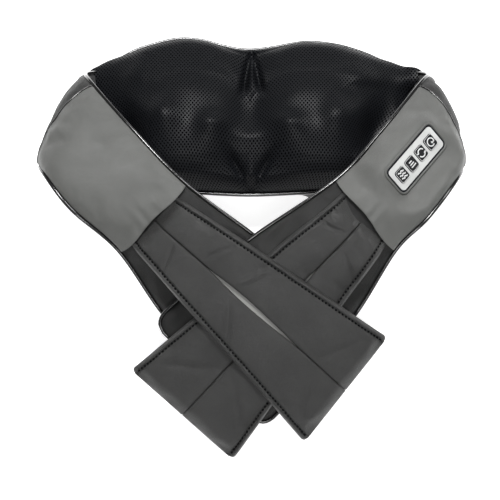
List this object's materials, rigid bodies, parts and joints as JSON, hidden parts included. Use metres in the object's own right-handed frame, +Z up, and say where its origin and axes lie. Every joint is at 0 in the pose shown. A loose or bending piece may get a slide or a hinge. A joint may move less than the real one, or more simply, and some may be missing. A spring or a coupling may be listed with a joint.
{
  "type": "shiatsu neck massager",
  "caption": "Pillow-shaped neck massager with a mesh massage face, padded crossing arms, slit hand straps and a control panel on one arm.",
  "frame": {"origin": "centre of the bounding box in plan, on the resting plane under the back cover", "axes": "+Z up out of the massage face as the massager lies on its back, +Y from the crossed arms towards the upper edge of the pillow, +X towards the arm with the control panel"},
  "size_m": [0.4246, 0.4519, 0.1504],
  "materials": {
    "massage_mesh": "matte",
    "cover_leather": "satin",
    "strap_leather": "satin",
    "strap_backing": "matte",
    "arm_lining": "matte",
    "grey_panel": "satin",
    "piping": "gloss",
    "foam": "matte",
    "housing_plastic": "matte",
    "massage_node": "satin",
    "wheel_nylon": "satin",
    "steel": "satin",
    "bush_brass": "satin",
    "circuit_board": "satin",
    "control_border": "gloss",
    "control_silver": "satin",
    "button_grey": "satin"
  },
  "bodies": {
    "body": {"mesh_cover": "massage_mesh", "back_cover": "cover_leather", "piping_upper": "piping", "piping_lower": "piping", "dc_inlet": "control_border", "rear_housing": "housing_plastic", "front_housing": "housing_plastic", "foam_surround": "foam", "motor_can": "steel", "motor_end_cap": "housing_plastic", "main_board": "circuit_board", "bush_lower_left": "bush_brass", "bush_lower_right": "bush_brass", "bush_upper_left": "bush_brass", "bush_upper_right": "bush_brass", "shoulder_bend_left": "cover_leather", "shoulder_bend_right": "cover_leather"},
    "motor_rotor": {"motor_shaft": "steel", "worm_left": "steel", "worm_right": "steel"},
    "head_left": {"output_shaft_left": "steel", "worm_wheel_left": "wheel_nylon", "head_plate_left": "housing_plastic", "node_large_a_left": "massage_node", "node_large_b_left": "massage_node", "node_small_a_left": "massage_node", "node_small_b_left": "massage_node"},
    "head_right": {"output_shaft_right": "steel", "worm_wheel_right": "wheel_nylon", "head_plate_right": "housing_plastic", "node_large_a_right": "massage_node", "node_large_b_right": "massage_node", "node_small_a_right": "massage_node", "node_small_b_right": "massage_node"},
    "arm_left": {"arm_foam_left": "foam", "arm_outer_cover_left": "cover_leather", "arm_inner_cover_left": "arm_lining", "arm_panel_left": "grey_panel", "arm_piping_left": "piping"},
    "arm_right": {"arm_foam_right": "foam", "arm_outer_cover_right": "cover_leather", "arm_inner_cover_right": "arm_lining", "arm_panel_right": "grey_panel", "arm_piping_right": "piping", "control_housing": "control_border", "control_plate": "control_silver", "control_board": "circuit_board"},
    "strap_left": {"strap_band_inner_left": "strap_leather", "strap_band_outer_left": "strap_leather", "strap_lining_left": "strap_backing"},
    "strap_right": {"strap_band_inner_right": "strap_leather", "strap_band_outer_right": "strap_leather", "strap_lining_right": "strap_backing"},
    "button_power": {"button_power": "button_grey"},
    "button_direction": {"button_direction": "button_grey"},
    "button_speed": {"button_speed": "button_grey"},
    "button_heat": {"button_heat": "button_grey"}
  },
  "joints": [
    {"name": "head_left_spin", "type": "hinge", "parent": "body", "child": "head_left", "pos_m": [-0.064, 0.112, 0.057], "axis": [0, 0, 1], "continuous": true},
    {"name": "head_right_spin", "type": "hinge", "parent": "body", "child": "head_right", "pos_m": [0.064, 0.112, 0.057], "axis": [0, 0, 1], "continuous": true},
    {"name": "motor_spin", "type": "hinge", "parent": "body", "child": "motor_rotor", "pos_m": [0, 0.13675, 0.033], "axis": [1, 0, 0], "continuous": true},
    {"name": "arm_left_lift", "type": "hinge", "parent": "body", "child": "arm_left", "pos_m": [-0.18, 0.09, 0.1], "axis": [-1, 0, 0], "range_deg": [0, 20], "deforming": ["shoulder_bend_left"]},
    {"name": "arm_right_lift", "type": "hinge", "parent": "body", "child": "arm_right", "pos_m": [0.18, 0.09, 0.1], "axis": [-1, 0, 0], "range_deg": [0, 20], "deforming": ["shoulder_bend_right"]},
    {"name": "strap_left_lift", "type": "hinge", "parent": "arm_left", "child": "strap_left", "pos_m": [-0.096, -0.0085, 0.1195], "axis": [-0.7265, -0.6205, -0.2952], "range_deg": [0, 30]},
    {"name": "strap_right_lift", "type": "hinge", "parent": "arm_right", "child": "strap_right", "pos_m": [0.1097, -0.0148, 0.1378], "axis": [-0.6691, 0.6961, 0.2601], "range_deg": [0, 12]},
    {"name": "press_power", "type": "slide", "parent": "arm_right", "child": "button_power", "axis": [-0.4302, 0.2201, -0.8755], "range_m": [0, 0.001], "stiffness_N_per_m": 400},
    {"name": "press_direction", "type": "slide", "parent": "arm_right", "child": "button_direction", "axis": [-0.4302, 0.2201, -0.8755], "range_m": [0, 0.001], "stiffness_N_per_m": 400},
    {"name": "press_speed", "type": "slide", "parent": "arm_right", "child": "button_speed", "axis": [-0.4302, 0.2201, -0.8755], "range_m": [0, 0.001], "stiffness_N_per_m": 400},
    {"name": "press_heat", "type": "slide", "parent": "arm_right", "child": "button_heat", "axis": [-0.4302, 0.2201, -0.8755], "range_m": [0, 0.001], "stiffness_N_per_m": 400}
  ],
  "couplings": [
    {"joint": "head_right_spin", "follows": "head_left_spin", "ratio": -1},
    {"joint": "motor_spin", "follows": "head_left_spin", "ratio": 30},
    {"joint": "arm_right_lift", "follows": "arm_left_lift", "ratio": 1},
    {"joint": "strap_right_lift", "follows": "strap_left_lift", "ratio": 0.4}
  ]
}
